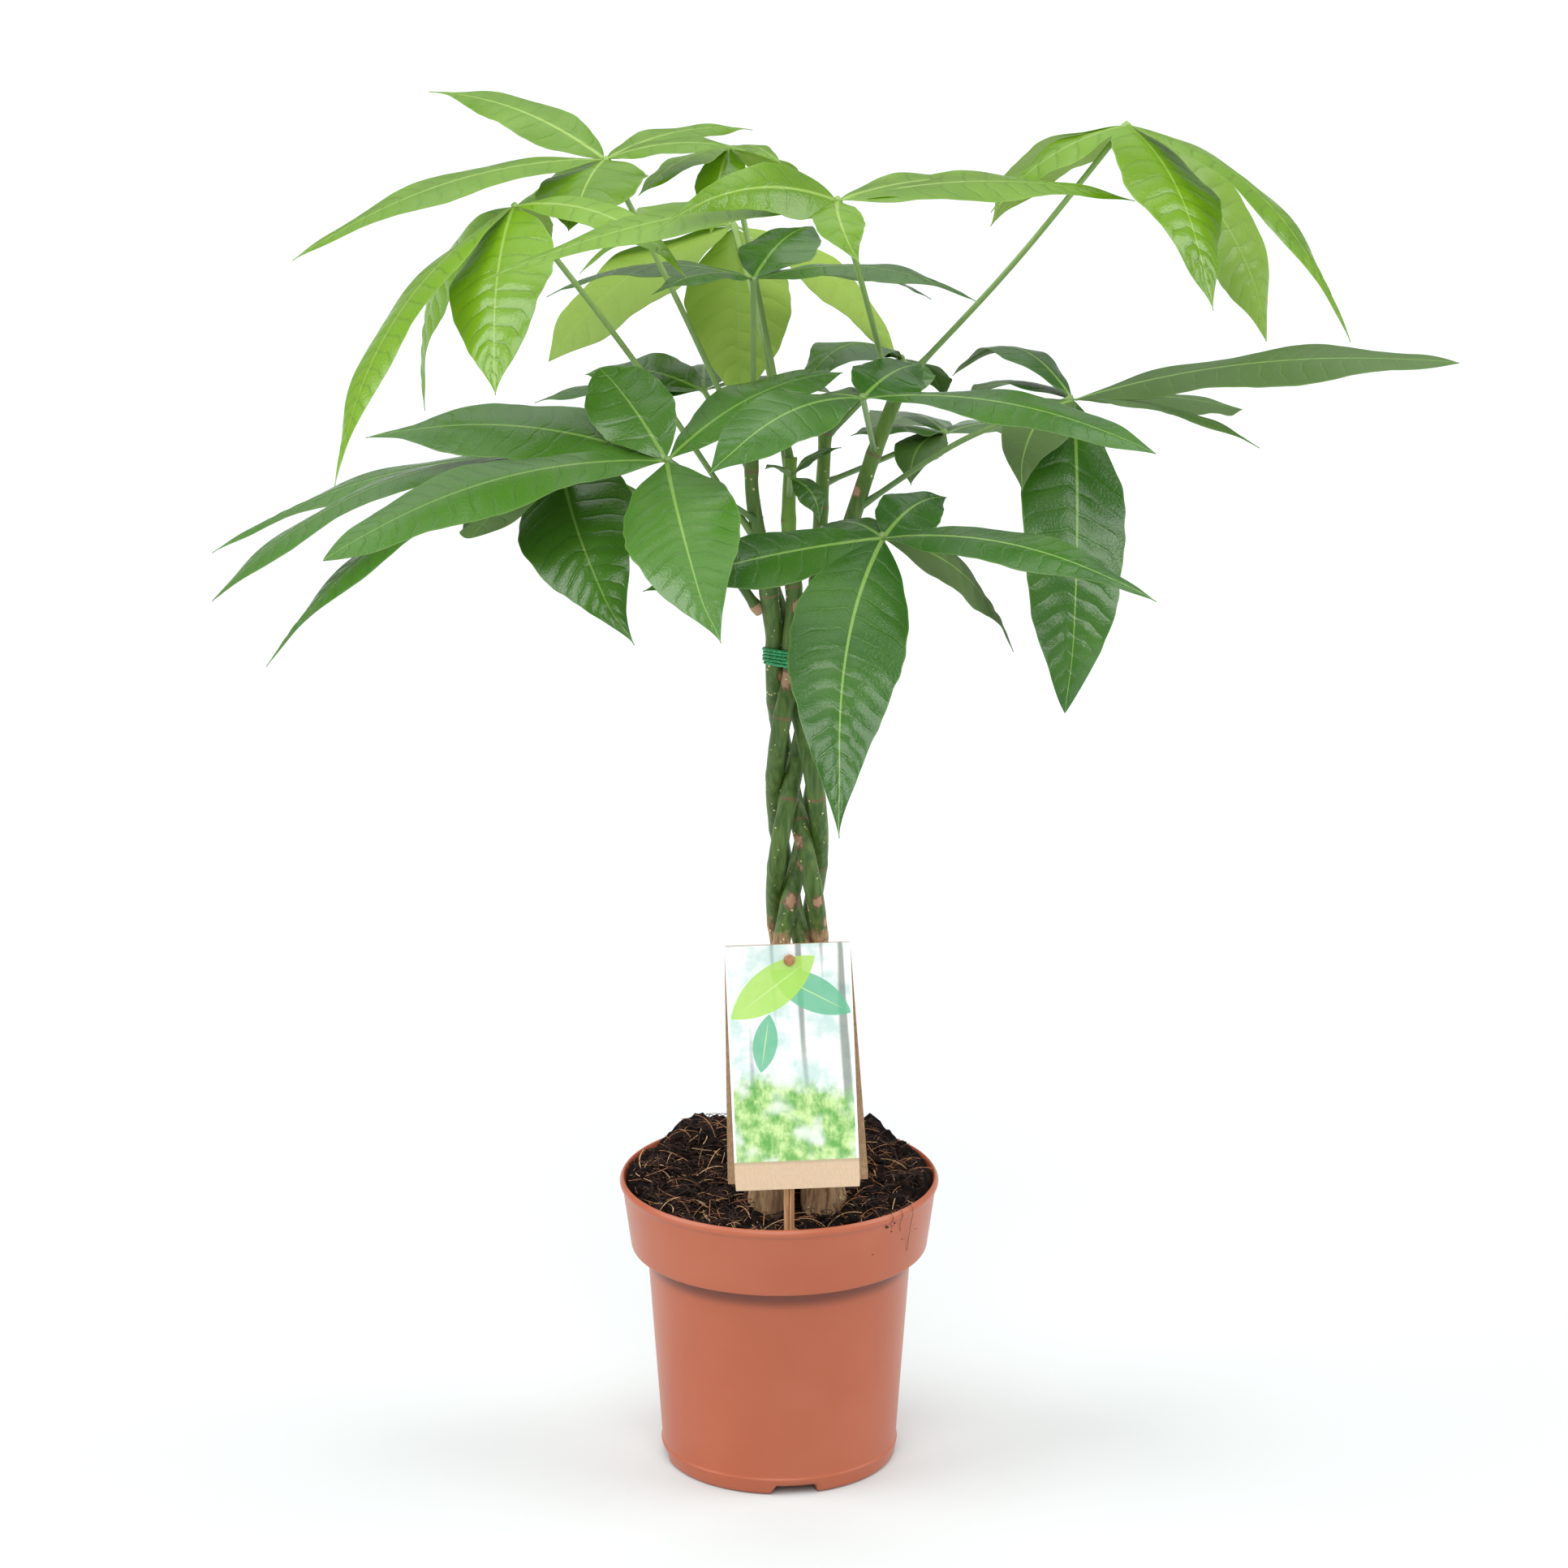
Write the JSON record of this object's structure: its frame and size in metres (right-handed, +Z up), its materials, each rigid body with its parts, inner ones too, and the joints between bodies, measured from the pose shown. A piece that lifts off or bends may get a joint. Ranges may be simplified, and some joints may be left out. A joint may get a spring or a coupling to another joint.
{
  "type": "potted money tree",
  "caption": "Braided-stem money tree with palmate leaves in a terracotta-coloured nursery pot of compost, with a plain plant label on a stick.",
  "frame": {"origin": "middle of the pot's flat underside, on the surface it stands on", "axes": "+Z up the trunk, +X to the right seen from the label side, +Y away from the label side"},
  "size_m": [0.6332, 0.4529, 0.7303],
  "materials": {
    "terracotta_plastic": "satin terracotta-coloured moulded plastic",
    "bark": "smooth green bark, tan and woody near the compost",
    "compost": "dark peat compost with tan coir fibres",
    "green_twine": "shiny green plastic twine",
    "printed_card": "coated card with a plain green pattern",
    "kraft_card": "uncoated kraft card",
    "split_wood": "rough split wood",
    "dark_wood": "turned dark wood",
    "young_leaf": "soft glossy young leaf, yellow-green",
    "mature_leaf": "leathery glossy mature leaf, deep green"
  },
  "bodies": {
    "root": {"pot": "terracotta_plastic", "stem_cut": "bark", "stem_middle": "bark", "stem_right_back": "bark", "stem_right": "bark", "stem_left": "bark", "soil": "compost", "tie": "green_twine", "label_front": "printed_card", "label_back": "kraft_card", "label_stick": "split_wood", "label_peg": "dark_wood", "leaf_upper_left": "young_leaf", "leaf_top_left": "young_leaf", "leaf_top_back": "young_leaf", "leaf_back": "young_leaf", "leaf_top_centre": "young_leaf", "leaf_top_right": "young_leaf", "leaf_inner": "mature_leaf", "leaf_front_left": "mature_leaf", "leaf_low_left": "mature_leaf", "leaf_centre": "mature_leaf", "leaf_back_right": "mature_leaf", "leaf_right": "mature_leaf", "leaf_low_back": "mature_leaf", "leaf_front_right": "mature_leaf", "leaf_back_left": "mature_leaf", "leaf_shoot": "mature_leaf"}
  },
  "joints": []
}
